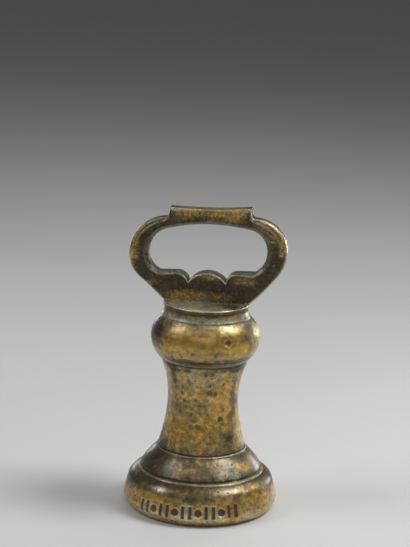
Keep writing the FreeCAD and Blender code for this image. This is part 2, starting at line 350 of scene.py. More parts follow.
# %% Pits
outside = outline_length > outline_length[np.argmax(outline[:, 0])]
rising_height = np.maximum.accumulate(np.where(outside | (outline[:, 0] > FOOT[0]), outline[:, 1], -1))


def over_surface(at_angle, at_height):
    """How far each grid point lies from a spot, in mm: the way round and the way up along the outline."""
    around = (angle - math.radians(at_angle) + np.pi) % (2 * np.pi) - np.pi
    return radius * around, row_places[:, None] - np.interp(at_height, rising_height, outline_length)


LARGE_PITS = (
    (34, 91.8, 2.2, 1.3), (38, 49.9, 1.7, 0.5), (-13, 69.5, 1.7, 0.12), (-25, 66, 1.2, 0.25),
    (18, 67.5, 1.2, 0.25), (40, 68, 1.2, 0.3), (19, 63.7, 2.0, 0.25), (28, 63.5, 1.4, 0.3),
    (-23, 59, 1.3, 0.3), (-10, 52.4, 0.9, 0.25), (17, 52.4, 0.9, 0.25), (43, 54.9, 0.9, 0.3),
    (-9, 45.9, 2.1, 0.22), (-27, 62.5, 1.2, 0.3), (2, 46, 1.8, 0.25), (0, 37.5, 1.0, 0.25),
    (-13, 75.5, 1.4, 0.1), (21, 74, 1.5, 0.1), (37, 76, 1.5, 0.1), (41, 42, 2.4, 0.16),
    (-42, 47.5, 1.9, 0.2), (-30, 53, 1.2, 0.2), (-19, 56, 0.9, 0.2), (12, 57, 0.8, 0.2),
)
SMALL_PITS = 90
SMALL_PIT_HEIGHTS, SMALL_PIT_SIZES, SMALL_PIT_DEPTHS = (33, 58, 96), (0.4, 0.85), (0.08, 0.25)
RAGGEDNESS, PIT_STEEPNESS = 0.2, 1.4
STAIN_CORE, STAIN_RIM = 0.35, 1.2
FAINTEST_STAIN, STAIN_BY_DEPTH = 0.5, 1.3
pit_rng = np.random.default_rng(8)
small_pits = np.stack([
    pit_rng.uniform(-180, 180, SMALL_PITS),
    pit_rng.triangular(*SMALL_PIT_HEIGHTS, SMALL_PITS),
    pit_rng.uniform(*SMALL_PIT_SIZES, SMALL_PITS),
    pit_rng.uniform(*SMALL_PIT_DEPTHS, SMALL_PITS),
], -1)

ragged = 1 + RAGGEDNESS * waves([flat_x, flat_y, height], seed=3, count=9, reach=1.5)
dents = np.zeros((BELL_ROWS, BELL_COLUMNS))
stains = np.zeros_like(dents)
for spot_angle, spot_height, size, depth in np.concatenate([LARGE_PITS, small_pits]):
    distance = np.hypot(*over_surface(spot_angle, spot_height)) * ragged / size
    dents += depth * np.exp(-distance ** 2 * PIT_STEEPNESS)
    stain = min(1, FAINTEST_STAIN + STAIN_BY_DEPTH * depth)
    stains = np.maximum(stains, (1 - smooth_step(STAIN_CORE, STAIN_RIM, distance)) * stain)
print("pits:", len(LARGE_PITS) + SMALL_PITS)

# %% [markdown]
# ## The punched tally
# The skirt was punched with a tally: pairs of strokes and round pellets in turn, each struck a little
# deeper than the one before. A punch leaves steep walls and throws up a burr round them. So a mark is
# a soft-edged slot, and the burr is what a slightly larger slot has more than it.

# %% Punched tally
TALLY_MARKS = 9
TALLY_ANGLES = np.linspace(-36, 34, TALLY_MARKS)
TALLY_HEIGHTS = np.linspace(7.0, 8.2, TALLY_MARKS)
STROKE_HALF, STROKE_TALL, STROKE_APART, PELLET = 0.88, 3.3, 1.8, 1.95
BURR_WIDTH = 0.75
FAINTEST_STRIKE = 0.7


def slot(way, half, soft=0.35):
    """1 in the middle and 0 outside, with an edge at half the width that is soft on both sides."""
    return 1 - smooth_step(half - soft, half + soft, np.abs(way))


def tally_mark(around, up, has_strokes, grow):
    """Two upright strokes or a round pellet, each side of it grown by a width in mm."""
    if has_strokes:
        return slot(np.abs(around) - STROKE_APART, STROKE_HALF + grow) * slot(up, STROKE_TALL + grow)
    return slot(np.hypot(around, up), PELLET + grow)


tally, raised = np.zeros_like(dents), np.zeros_like(dents)
for k, (mark_angle, mark_height) in enumerate(zip(TALLY_ANGLES, TALLY_HEIGHTS)):
    around, up = over_surface(mark_angle, mark_height)
    struck = FAINTEST_STRIKE + (1 - FAINTEST_STRIKE) * k / (TALLY_MARKS - 1)
    tally = np.maximum(tally, struck * tally_mark(around, up, k % 2 == 0, 0))
    raised = np.maximum(raised, tally_mark(around, up, k % 2 == 0, BURR_WIDTH))
burr = np.clip(raised - tally, 0, 1)
print("tally:", TALLY_MARKS, "marks")

# %% [markdown]
# ## The finish, zone by zone
# On the real weight the colour follows use. What a hand or a shelf rubs is gold, what it misses is brown or
# nearly black, and the turned hollows are pale with bloom. We could paint this by hand as vertex colours. A
# few amounts by height, plus soft patches round a point, say the same thing in numbers that can be changed.
# Some bands and patches also paint light and shade. Darker corners, a darker underside of the bulb and a
# darker left side are painted shade, and pale spots and strips are painted highlights and reflections. A
# patch is an angle and a height, two half sizes and an amount, and an amount below 0 takes the layer away.

# %% Zones and patches of the bell
GOLD_BY_HEIGHT = (
    (0, 0.4), (3, 0.6), (9, 0.65), (12, 0.5), (14.5, 0.1), (19, 0), (22, 0), (31, 0), (34, 0.1), (38, 0.25),
    (46, 0.45), (52, 0.4), (58, 0.45), (66, 0.36), (73, 0.3), (77.5, 0.05), (80, 0.05), (84, 0.3),
    (86.5, 0.5), (88.5, 0.55), (91.5, 0.55), (93.5, 0.45), (95.5, 0.2), (97.5, 0.1), (99.5, 0.1),
    (104, 0.12), (106, 0.05))
# The dark bands in the corners beside the two ledges, and under the bulb at 74 to 78 mm, are partly dirt and
# partly painted shade.
DARK_BY_HEIGHT = (
    (0, 0.2), (2, 0.02), (9, 0.05), (12, 0.3), (15, 0.66), (18.6, 0.72), (19.2, 0.85), (19.7, 0.5),
    (20.2, 0.5), (20.7, 0.95), (22, 0.8), (30.4, 0.76), (30.9, 0.45), (31.4, 0.45), (31.8, 0.95),
    (32.6, 0.5), (34, 0.2), (40, 0.08), (70, -0.1), (73, 0), (74.5, 0.35), (75.5, 0.6), (78, 0.6),
    (78.6, 0.3), (80, 0.3), (84, 0.3), (87, 0.38), (89, 0.36), (94, 0.42), (97, 0.5), (100, 0.55),
    (101, 0.25), (103, 0.4), (104.6, 0.8), (106.2, 0.8), (106.5, 0.5))
BLOOM_BY_HEIGHT = (
    (0, 0.1), (5, 0.05), (12, 0.1), (19.3, 0.1), (19.7, 0.55), (20.2, 0.55), (20.5, 0.3), (30.5, 0.2),
    (30.95, 0.6), (31.35, 0.6), (31.6, 0.3), (36, 0.25), (45, 0.08), (60, 0.08), (70, 0.12), (74, 0.18),
    (76, 0.2), (78.2, 0.6), (79.5, 0.5), (82, 0.3), (86, 0.08), (93, 0.1), (96, 0.25), (98.5, 0.4),
    (100.6, 0.75), (102.3, 0.75), (103.3, 0.3), (104.4, 0.1), (106, 0.05), (106.5, 0.7))
# The ring at the bulb's lower edge, at 77 to 80 mm, is partly worn metal and partly a painted reflection of
# the floor. The other edges are worn bright.
EDGE_BY_HEIGHT = (
    (0, 0), (18, 0), (19, 0.06), (32, 0.06), (33, 0), (77, 0.2), (78, 0.6), (80, 0), (106, 0.05), (106.4, 1))
RUB_BY_HEIGHT = ((0, 0), (1.5, 0.35), (5, 0.35), (9, 0.18), (12, 0.05), (14, 0))
MOTTLE_BY_HEIGHT = ((0, 0.4), (30, 0.4), (38, 1), (74, 1), (80, 0.4), (97, 0.4), (101, 0))
POLISH_BY_HEIGHT = ((0, 0.1), (33, 0.1), (77, 0.2), (80, 0.55), (97, 0.55), (101, 0.2))
GROOVE_BY_HEIGHT = ((0, 0.8), (90, 0.8), (97, 0.3), (102, 0.3), (104, 0.8))
GOLD_PATCHES = (
    (59, 14.5, 7, 4, 0.9), (60, 25.5, 5, 3, 0.8), (-5, 26, 9, 3, 0.35), (46, 57, 5, 8, 0.5),
    (-33, 43, 8, 5, 0.6), (-16, 43, 9, 3.5, 0.5), (18, 47, 8, 5, 0.4), (0, 90.8, 16, 5, 0.55),
    (48, 88, 9, 4, 0.35), (4, 87, 22, 1.8, -0.42), (184, 87, 22, 1.8, -0.42), (-28, 88.5, 8, 4, 0.2),
    (-30, 11.5, 12, 3, 0.5), (30, 12, 9, 3, 0.35))
# Some of these patches are painted shade. The patches on the left of the skirt, waist and bulb darken the
# side away from the stronger lamp, and the two bands at 80.9 mm darken the underside of the bulb. The two
# patches below 0 beside the bulb's top take the dark away where its highlights fall, which is a painted
# highlight.
DARK_AND_SHADE_PATCHES = (
    (-62, 36, 12, 9, 0.65), (-64, 93, 14, 6.5, 0.65), (72, 92, 9, 8, 0.2), (-38, 56, 4, 9, 0.35),
    (48, 40, 4, 6, 0.4), (-40, 70, 3, 7, 0.75), (-75, 12, 20, 8, 0.35), (150, 45, 18, 16, 0.4),
    (100, 15, 14, 7, 0.3), (-130, 62, 14, 12, 0.3), (-25, 95.5, 7, 4, -0.3), (32, 95.5, 8, 4, -0.4),
    (58, 60, 7, 20, 0.65), (8, 80.9, 24, 1.9, 0.6), (188, 80.9, 24, 1.9, 0.6), (-45, 19, 14, 4, 0.25),
    (66, 62, 5, 9, 0.25))
BLOOM_PATCHES = (
    (-75, 60, 12, 22, 0.35), (78, 55, 7, 24, 0.35), (40, 24, 12, 3, 0.35), (44, 15, 9, 3, 0.35),
    (-5, 36, 12, 3, 0.2))
# These pale patches are mostly painted highlights and reflections. The strips down both sides of the waist
# and the bulb paint pale reflections along the outline. The spots on the skirt's shoulder and on the tier's
# right paint where the softboxes' highlights fall. The thin bands round the bulb's lower part paint its
# reflection of the floor.
SHEEN_AND_WEAR_PATCHES = (
    (-69, 62, 7, 15, 0.25), (86, 60, 7, 17, 0.25), (-64, 83, 9, 4, 0.3), (84, 83, 9, 4, 0.3),
    (-21.5, 16.2, 4, 1.5, 0.9), (-8, 70.5, 13, 4, 0.22), (34, 17.2, 5, 1.5, 0.5), (38, 25, 7, 3, 0.3),
    (8, 84, 26, 0.9, 0.22), (188, 84, 26, 0.9, 0.22), (93, 88, 9, 7, 0.2))


def by_height(table):
    """The amount at each grid point, read from its height between the heights of the table."""
    heights, amounts = np.array(table).T
    return np.interp(height, heights, amounts) * np.ones_like(angle)


def patches(table):
    """The sum of soft patches: a bell curve of the way round and the way up over each one's half sizes."""
    total = np.zeros_like(dents)
    for at_angle, at_height, half_round, half_tall, amount in table:
        around, up = over_surface(at_angle, at_height)
        total += amount * np.exp(-(around / half_round) ** 2 - (up / half_tall) ** 2)
    return total


print("patches:", sum(map(len, (GOLD_PATCHES, DARK_AND_SHADE_PATCHES, BLOOM_PATCHES, SHEEN_AND_WEAR_PATCHES))))

# %% [markdown]
# ## The layers of the bell's finish
# Each layer is a sum of those zones and of marks that follow the shape: bloom, dirt and painted shade in
# creases, bright metal on edges with a painted reflection on the ring under the bulb, the burrs of the
# tally, faint streaks left by turning, a soft mottle, and the clouded disc that the loop stands on, darkened
# towards its right side as painted shade. How much each counts is written in one table, with a row for each
# layer.
# Polish isn't a colour: it calms the grain where hands have smoothed the bulb.

# %% Finish of the bell
BELL_WEIGHTS = {
    "gold": {"gold zone": 1, "bare": 1, "below": -0.3, "streaks": -0.14, "mottle": 0.2},
    "dark": {"dark zone": 1, "bare": -0.7, "below": 0.2, "streaks": 0.1, "mottle": -0.15, "burr": -0.3,
             "disc clouds": 1, "shaded disc side": 0.35, "seam": -0.5},
    "bloom": {"bloom zone": 1, "burr": 0.1, "disc": 0.14, "shaded disc side": -0.4},
    "edge": {"wear and sheen zone": 1, "burr": 0.32, "seam": 0.4},
    "polish": {"polish zone": 1},
}
CREASE, CREASE_REACH = 0.12, 5 * CORNER_WEAR
FOOT_INSET = 0.2
PUNCHED_STEP = (0.15, 0.6)
# The disc grows darker and loses bloom towards its right side. This is a painted shade.
DISC_DEPTH, DISC_SHADE_STEP = 0.4, (-4, 12)
SEAM_AT, SEAM_WIDE = 4.6, 0.6
PATCHY_MEAN, PATCHY_SPREAD = 0.75, 0.5
STREAK_MEAN, STREAK_SPREAD = 0.7, 0.5
DISC_MEAN, DISC_SPREAD = 0.05, 0.4


def weighed(weights, fields):
    """For each layer, the sum of the named fields, each times its weight."""
    return {layer: sum(weight * fields[name] for name, weight in row.items())
            for layer, row in weights.items()}


bulge = ((blurred(even_outline, CREASE_REACH) - outline) * normals).sum(1, keepdims=True)
hollowness = read_at(row_places, outline_length, bulge) / CREASE
patchy = PATCHY_MEAN + PATCHY_SPREAD * waves([flat_x, flat_y], seed=13, count=8, reach=5)
# Creases grow darker here, partly from dirt and partly as painted shade.
creases = np.clip(hollowness, 0, 1) * by_height(GROOVE_BY_HEIGHT) * patchy
# Bright worn edges, with a painted reflection on the ring under the bulb.
edge_wear_and_sheen = np.clip(-hollowness, 0, 1) * by_height(EDGE_BY_HEIGHT)
streak_shares = STREAK_MEAN + STREAK_SPREAD * waves([flat_x, flat_y], seed=15, count=6, reach=14)
streaks = waves([row_places[:, None]], seed=14, count=9, reach=1.1) * streak_shares
on_disc = (height > BODY_TOP - DISC_DEPTH) & (radius < RIM[0][0])
disc_clouds = DISC_MEAN + DISC_SPREAD * waves([flat_x, flat_y], seed=17, count=8, reach=6)
polish = by_height(POLISH_BY_HEIGHT)

bell_finish = weighed(BELL_WEIGHTS, {
    "gold zone": by_height(GOLD_BY_HEIGHT),
    "dark zone": by_height(DARK_BY_HEIGHT) + patches(DARK_AND_SHADE_PATCHES),
    "bloom zone": by_height(BLOOM_BY_HEIGHT) + patches(BLOOM_PATCHES),
    # worn edges and wear, plus the painted highlights and reflections of the pale patches
    "wear and sheen zone": edge_wear_and_sheen + by_height(RUB_BY_HEIGHT) + patches(SHEEN_AND_WEAR_PATCHES),
    "polish zone": polish,
    "bare": patches(GOLD_PATCHES),
    "below": underneath(radius, height, FOOT_INSET),
    "streaks": streaks * polish,
    "mottle": waves([flat_x, flat_y, height], seed=21, count=12, reach=7) * by_height(MOTTLE_BY_HEIGHT),
    "burr": burr,
    "disc": on_disc,
    "disc clouds": on_disc * disc_clouds,
    # painted shade towards the disc's right side
    "shaded disc side": on_disc * smooth_step(*DISC_SHADE_STEP, flat_x),
    "seam": on_disc * np.exp(-((np.abs(flat_y) - SEAM_AT) / SEAM_WIDE) ** 2),
})
bell_finish["edge"] *= patchy * shown
# The pit layer holds the stains of the pits, and it fills the punched tally and the creases dark. That fill
# is partly dirt and partly painted shade.
bell_finish["pit"] = np.maximum.reduce([stains, smooth_step(*PUNCHED_STEP, tally), creases]) * shown
for layer, values in bell_finish.items():
    print("layer of the bell:", layer, values.mean().round(2))

# %% [markdown]
# ## The bell itself
# Each grid point is pushed along the outline's normal by its dents and by a slow waviness, because no
# old casting is a perfect round. The point then swings round the axis: x is the radius times the
# sine of the angle and y is minus the radius times its cosine, so that angle 0 faces the front.

# %% Bell
WAVINESS = 0.07
TURNING_RIDGES = 0.012
TALLY_DEPTH = 0.65
BURR_HEIGHT = 0.1


def swung(outline_points, outline_normals, angles, push):
    """A surface of revolution, pushed along its normals: (r sin a, -r cos a, z) at each angle a."""
    r = outline_points[:, :1] + outline_normals[:, :1] * push
    z = outline_points[:, 1:] + outline_normals[:, 1:] * push
    return np.stack([r * np.sin(angles), -r * np.cos(angles), z], -1)


uneven = WAVINESS * waves([flat_x, flat_y, height], seed=11, count=14, reach=9)
ridges = TURNING_RIDGES * waves([row_places[:, None]], seed=12, count=10, reach=0.9)
bell_push = (uneven + ridges - dents - TALLY_DEPTH * tally + BURR_HEIGHT * burr) * shown
bell_grid = swung(row_points, row_normals, angle, bell_push)
bell_poles = np.array([[0, 0, CAVITY_TOP], [0, 0, BODY_TOP]])
bell = make_piece("turned_bell", bell_grid, bell_poles, bell_finish)
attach(bell, "root")
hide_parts("bell_body")

# %% [markdown]
# ## The two lines of the loop
# The handle is one flat casting: a ring for the fingers on a plate that stands on the bell, with a
# saddle on top and a scalloped sill below. It could be cut from a slab with booleans, but then its
# edges could only be rounded alike. Here two closed lines run round it together, one along the
# opening and one along the outer edge, with as many points on each stretch, so that every pair of
# points spans one slice of the casting.

# %% Lines of the loop
FOOT_Z = BODY_TOP
TIP_Z = loop_high[2]
SILL_Z, CROWN_Z = 122.2, 146.8
ARCH_RADIUS = 92.0
END_CENTRE, END_RADIUS = (17.85, 132.65), 12.15
ARCH_JOIN, TIP_TURN, FLANK_TURN, CORNER_TURN = 77.9, 62.0, -40.0, -59.3
LOBE_START, LOBE_RADIUS, NOTCH = 15.25, 5.7, (9.6, 117.3)
ARM_CENTRE, ARM_RADIUS, ARM_START, ARM_END = (22.0, 132.1), 18.0, 88.7, -45.0
SADDLE_HALF, SADDLE_DIP = 20.5, 0.9
SADDLE_PULL = (20.2, 151.3)
PLATE_HALF = 21.3
STRETCHES = (64, 18, 96, 54, 26, 30, 40)


def round_part(centre, size, start, end, count):
    """Points on a circle from one angle to another, in degrees."""
    turn_by = np.radians(np.linspace(start, end, count))
    return np.stack([centre[0] + size * np.cos(turn_by), centre[1] + size * np.sin(turn_by)], -1)


def evenly(points, count):
    """Count points at equal steps along a line."""
    return spaced(points, np.linspace(0, along(points)[-1], count))


def whole_loop(stretches):
    """A closed line from the stretches of its right half, with the left half as their mirror image.

    Each stretch leaves out its last point, because the next one starts there.
    """
    right = np.concatenate([stretch[:-1] for stretch in stretches] + [stretches[-1][-1:]])
    return np.concatenate([right, right[-2:0:-1] * (-1, 1)])


print("points on the stretches of the loop's half:", STRETCHES)

# %% [markdown]
# ## The opening and the outer edge
# The opening is a flat arch, two round ends and a sill of three lobes. The outer edge is a saddle with
# a slight dip, two round arms and a plate. Each stretch of the one has its partner on the other, from
# the middle of the top down the right side to the middle of the foot.

# %% Opening and outer edge
arch_middle = (0, CROWN_Z - ARCH_RADIUS)
join_x, corner_x = (END_CENTRE[0] + END_RADIUS * math.cos(math.radians(turn))
                    for turn in (ARCH_JOIN, CORNER_TURN))
arch_end = math.degrees(math.acos(join_x / ARCH_RADIUS))
saddle_x = np.linspace(0, SADDLE_HALF, 80)
saddle_top = np.stack([saddle_x, TIP_Z - SADDLE_DIP * (1 - (saddle_x / SADDLE_HALF) ** 2)], -1)
arm = round_part(ARM_CENTRE, ARM_RADIUS, ARM_START, ARM_END, 200)
lobe_middle = (LOBE_START, SILL_Z - LOBE_RADIUS)
lobe_end = math.degrees(math.acos((NOTCH[0] - LOBE_START) / LOBE_RADIUS))
middle_lobe = ball(NOTCH, (0, SILL_Z), (-NOTCH[0], NOTCH[1]))

inner_line = whole_loop([evenly(stretch, count) for count, stretch in zip(STRETCHES, (
    round_part(arch_middle, ARCH_RADIUS, 90, arch_end, 80),
    round_part(END_CENTRE, END_RADIUS, ARCH_JOIN, TIP_TURN, 40),
    round_part(END_CENTRE, END_RADIUS, TIP_TURN, FLANK_TURN, 160),
    round_part(END_CENTRE, END_RADIUS, FLANK_TURN, CORNER_TURN, 60),
    straight((corner_x, SILL_Z), (LOBE_START, SILL_Z)),
    round_part(lobe_middle, LOBE_RADIUS, 90, lobe_end, 60),
    middle_lobe[:len(middle_lobe) // 2 + 1],
))])
outer_line = whole_loop([evenly(stretch, count) for count, stretch in zip(STRETCHES, (
    saddle_top,
    bend(saddle_top[-1], SADDLE_PULL, arm[0]),
    arm,
    straight(arm[-1], (PLATE_HALF, FOOT_Z)),
    straight((PLATE_HALF, FOOT_Z), (LOBE_START, FOOT_Z)),
    straight((LOBE_START, FOOT_Z), (NOTCH[0], FOOT_Z)),
    straight((NOTCH[0], FOOT_Z), (0, FOOT_Z)),
))])
print("loop lines:", len(inner_line), "pairs of points")

# %% [markdown]
# ## The broken edges of the loop
# A file has broken the edges of the casting: a broad bevel round the opening, a soft round on the
# arms where the hand holds it, and hardly anything at the plate's foot. A Bevel modifier would break
# them all alike. Here the two roundings change along the line, read from a few values at the ends of
# the stretches.

# %% Broken edges of the loop
HALF_THICK = 4.1
BEVEL_AT_ENDS = (1.35, 1.4, 1.8, 1.8, 1.2, 0.6, 0.3, 0.45)
ROUND_AT_ENDS = (0.6, 1.2, 1.5, 1.6, 0.35, 0.2, 0.15, 0.15)
ARM_ROUND, ARM_SWELL = 2.7, 0.7
half_marks = np.concatenate([[0], np.cumsum(np.array(STRETCHES) - 1)])
half_index = np.arange(half_marks[-1] + 1)


def between_ends(amounts):
    """Values along the loop's right half, read between those at the ends of its stretches."""
    return np.interp(half_index, half_marks, amounts)


def mirrored_values(right):
    """Values for the whole loop from those of its right half."""
    return np.concatenate([right, right[-2:0:-1]])


arm_share = np.clip((half_index - half_marks[2]) / (half_marks[3] - half_marks[2]), 0, 1)
swell = (ARM_ROUND - ROUND_AT_ENDS[2]) * np.sin(np.pi * arm_share) ** ARM_SWELL
bevel = mirrored_values(between_ends(BEVEL_AT_ENDS))
rounding = mirrored_values(between_ends(ROUND_AT_ENDS) + swell)
print("bevel up to", bevel.max(), "mm, rounding up to", rounding.max().round(2), "mm")

# %% [markdown]
# ## A slice of the loop
# A slice runs round the outer edge and over the front to the opening, and back again behind. Half of
# it is made of five short runs between lines: the outer wall, a quarter round, the flat face, the
# bevel and the inner wall. Each run is worked out for all slices at once, and the back is the front
# with its depth turned over.

# %% Slices of the loop
QUARTER_STEPS, WALL_STEPS, FACE_STEPS = 8, 5, 16


def closed_normals(points, side):
    """Normals of a closed line, to its left for a side of 1 and to its right for -1."""
    direction = np.roll(points, -1, 0) - np.roll(points, 1, 0)
    direction /= np.linalg.norm(direction, axis=1, keepdims=True)
    return side * np.stack([-direction[:, 1], direction[:, 0]], -1)


def lerp(start, end, shares):
    """Points between two lines of points, at the given shares of the way: one column for each share."""
    return start[:, None] + (end - start)[:, None] * np.asarray(shares)[None, :, None]


into_ring = closed_normals(inner_line, 1)
into_edge = closed_normals(outer_line, -1)
bevel_line = inner_line + into_ring * bevel[:, None]
round_line = outer_line + into_edge * rounding[:, None]
quarter = np.linspace(0, np.pi / 2, QUARTER_STEPS)
steps = np.linspace(0, 1, WALL_STEPS)
flat = np.linspace(0, 1, FACE_STEPS)[1:-1]

front_places = np.concatenate([
    lerp(outer_line, outer_line, steps[:-1]),
    lerp(outer_line, round_line, 1 - np.cos(quarter)),
    lerp(round_line, bevel_line, flat),
    lerp(bevel_line, inner_line, steps),
    lerp(inner_line, inner_line, steps[1:]),
], 1)
wall_in, wall_out = (HALF_THICK - bevel)[:, None], (HALF_THICK - rounding)[:, None]
front_depth = np.concatenate([
    wall_out * steps[:-1],
    wall_out + rounding[:, None] * np.sin(quarter),
    np.full((len(bevel), len(flat)), HALF_THICK),
    HALF_THICK - bevel[:, None] * steps,
    wall_in * (1 - steps[1:]),
], 1)
slice_places = np.concatenate([front_places, front_places[:, -2:0:-1]], 1)
slice_depth = np.concatenate([-front_depth, front_depth[:, -2:0:-1]], 1)
print("slice:", slice_places.shape[1], "points")

# %% [markdown]
# ## A loop that isn't quite true
# The real loop is a little askew on its foot, and its faces are gently lumpy from casting and filing.
# A lattice could bend a straight one. Here both are soft shifts of the finished points, and the lean
# fades out towards the foot, so that the plate still stands on the bell.

# %% Shape of the loop
UNEVEN = 0.16
SWAY = 0.6 * UNEVEN
LEAN = math.tan(math.radians(2.3))
LEAN_SHIFT = 0.75
FLANK_SHIFT, FLANK_Z, FLANK_TALL = 0.7, 115.0, 6.5

x_flat, z_flat = slice_places[..., 0], slice_places[..., 1]
lumps = UNEVEN * waves([x_flat, slice_depth, z_flat], seed=21, count=12, reach=7)
rise = smooth_step(FOOT_Z, SILL_Z, z_flat)
leant = LEAN_SHIFT * (z_flat - ARM_CENTRE[1]) / (TIP_Z - ARM_CENTRE[1])
flank = FLANK_SHIFT * np.exp(-((z_flat - FLANK_Z) / FLANK_TALL) ** 2)
loop_grid = np.stack([
    x_flat + rise * (SWAY * waves([x_flat, z_flat], seed=22, count=8, reach=16) + leant) + flank,
    slice_depth + np.sign(slice_depth) * lumps * np.minimum(np.abs(slice_depth) / HALF_THICK, 1),
    z_flat + rise * (LEAN * x_flat + SWAY * waves([x_flat, z_flat], seed=23, count=8, reach=16)),
], -1)
print("loop grid:", loop_grid.shape[0], "slices")

# %% [markdown]
# ## Where the loop is worn
# Hands and shelves have rubbed patches of the loop to gold, and its edges to bright metal along three
# lines, found from how far a point lies from each. The lines are partly painted highlights as well. The
# line along the outer side wall, and the strongest stretches of the other two at the saddle's ends and on
# the sill, paint glints of the lamps along the edges. How bright a line is changes from stretch to
# stretch, and an amount below 0 means not at all. A patch is a place on the flat of the loop, two half
# sizes and an amount.

# %% Wear of the loop
LOOP_GOLD = (
    (-12, 152.8, 7, 2.6, 0.78), (4, 152.5, 9, 2.8, 0.85), (14, 152.3, 5, 2.8, 0.75), (-15, 149, 5, 1.4, 0.3),
    (1, 148.4, 3, 0.7, 0.45), (12, 148.6, 6, 1, 0.4), (-38.5, 139, 3.7, 5, 0.95), (-38.5, 130, 3.3, 5, 0.85),
    (-34, 144, 4, 2, 0.5), (27, 146, 5, 3, 0.6), (33, 141, 4, 4, 0.55), (38, 136, 2.2, 5, 0.8),
    (17, 118.6, 4, 2.2, 0.6), (23, 118.5, 3, 2.5, 0.5), (0, 120.2, 4.5, 1.5, 0.65), (5, 119, 3, 1.3, 0.4),
    (-7, 110.2, 13, 3, 0.75), (-15, 108.8, 5, 2, 0.4), (10, 109.6, 6, 2.4, 0.4), (-28, 116.5, 4, 2, 0.45))
OUTER_EDGE_AT_ENDS = (0.2, 1.25, 1.25, -0.6, 0.4, 0.5, 0.5, 0.5)
INNER_EDGE_AT_ENDS = (0.1, 0.1, 0.0, 0.4, 0.9, 0.5, 1.25, 0.9)
SIDE_EDGE_AT_ENDS = (0.15, 0.5, 0.4, 1.2, 1.0, 0.0, 0.0, 0.0)
EDGE_WIDTH, SIDE_WIDTH = 0.4, 0.7


def from_line(line, gap=0.0):
    """How far each point of the slices lies from a line round the loop, plus a gap in depth."""
    return np.linalg.norm(slice_places - line[:, None], axis=-1) + gap


loop_gold = np.zeros_like(x_flat)
for at_x, at_z, half_wide, half_tall, amount in LOOP_GOLD:
    loop_gold += amount * np.exp(-((x_flat - at_x) / half_wide) ** 2 - ((z_flat - at_z) / half_tall) ** 2)
below_face = HALF_THICK - np.abs(slice_depth)
below_rounding = np.maximum(wall_out - np.abs(slice_depth), 0)
# Worn edges and painted glints, along three lines round the loop.
glint_and_wear_lines = np.zeros_like(x_flat)
for amounts, width, distance in (
        (OUTER_EDGE_AT_ENDS, EDGE_WIDTH, from_line(round_line, below_face)),
        (INNER_EDGE_AT_ENDS, EDGE_WIDTH, from_line(bevel_line, below_face)),
        (SIDE_EDGE_AT_ENDS, SIDE_WIDTH, from_line(outer_line, below_rounding))):
    glint_and_wear = mirrored_values(np.maximum(between_ends(amounts), 0))
    glint_and_wear_lines += glint_and_wear[:, None] * np.exp(-(distance / width) ** 2)
print("gold patches on the loop:", len(LOOP_GOLD))

# %% [markdown]
# ## The loop itself
# The rest of its finish follows the shape: dark patina all over, bloom on the filed bevel and wall of
# the opening and along the foot, and a bright line where it meets the bell. The layers are weighed
# from a table, as those of the bell are.

# %% Loop
BEVEL_SHARE = 0.98
TOP_BEVEL_STEP = (SILL_Z + 16, CROWN_Z - 3)
FOOT_BLOOM_TALL, FOOT_LINE_TALL = 3.0, 0.9
LOOP_WEIGHTS = {
    "gold": {"all over": 0.1, "gold": 1},
    "dark": {"all over": 0.96, "gold": -0.7, "top bevel": -0.35},
    "bloom": {"all over": 0.05, "bevel": 0.52, "top bevel": 0.35, "foot": 0.45},
    "edge": {"glint and wear lines": 0.8, "foot line": 0.5},
    "pit": {"all over": 0},
    "polish": {"bevel": 0.75},
}
on_bevel = from_line(inner_line) < bevel[:, None] * BEVEL_SHARE

loop_finish = weighed(LOOP_WEIGHTS, {
    "all over": np.ones_like(x_flat),
    "gold": loop_gold,
    "bevel": on_bevel,
    "top bevel": on_bevel * smooth_step(*TOP_BEVEL_STEP, z_flat),
    "foot": np.exp(-((z_flat - FOOT_Z) / FOOT_BLOOM_TALL) ** 2),
    "glint and wear lines": glint_and_wear_lines,
    "foot line": np.exp(-((z_flat - FOOT_Z) / FOOT_LINE_TALL) ** 2),
})
loop = make_piece("lifting_loop", loop_grid, attributes=loop_finish)
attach(loop, "root")
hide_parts("handle")

# %% [markdown]
# ## The adjusting lead
# The maker brought the weight to its exact mass with lead, run into the foot and hammered tight. It
# is only seen from below. It could be a plain disc, but hammered lead is all dents, so its outline is
# swung round the axis like the bell and beaten with bell-curve dents placed by a seeded draw.

# %% Lead
LEAD_ROWS, LEAD_COLUMNS = 90, 160
LEAD_GAP = 0.02
LEAD_NECK, LEAD_WIDE = UNDERSIDE[2][0] - LEAD_GAP, CAVITY_RADIUS - LEAD_GAP
LEAD_FACE, LEAD_MIDDLE, LEAD_STEP, LEAD_TOP = 1.6, 1.7, UNDERSIDE[1][1] + LEAD_GAP, 20.0
FACE_UP_TO = LEAD_FACE + 1.5
BACK_DENSITY = 0.2
HAMMER_BLOWS, BLOW_SPREAD, DEEPEST = 46, 6.5, 0.9
BLOW_SIZES, BLOW_DEPTHS = (1.2, 2.6), (0.08, 0.3)

lead_line = straight(
    (0, LEAD_MIDDLE), (LEAD_NECK - 0.5, LEAD_FACE + 0.2), (LEAD_NECK, LEAD_FACE + 0.9),
    (LEAD_NECK, LEAD_STEP), (LEAD_WIDE, LEAD_STEP), (LEAD_WIDE, LEAD_TOP), (0, LEAD_TOP))
lead_even = blurred(spaced(lead_line, np.arange(0, along(lead_line)[-1], SAMPLE)), 2 * CORNER_WEAR)
lead_length = along(lead_even)
lead_density = np.where(lead_even[:, 1] < FACE_UP_TO, 1.0, BACK_DENSITY)
lead_places = shared_out(lead_length, lead_density, LEAD_ROWS + 2)[1:-1]
lead_points = read_at(lead_places, lead_length, lead_even)
lead_normals = read_at(lead_places, lead_length, outward(lead_even))
lead_angles = np.linspace(-math.pi, math.pi, LEAD_COLUMNS + 1)[None, :-1]

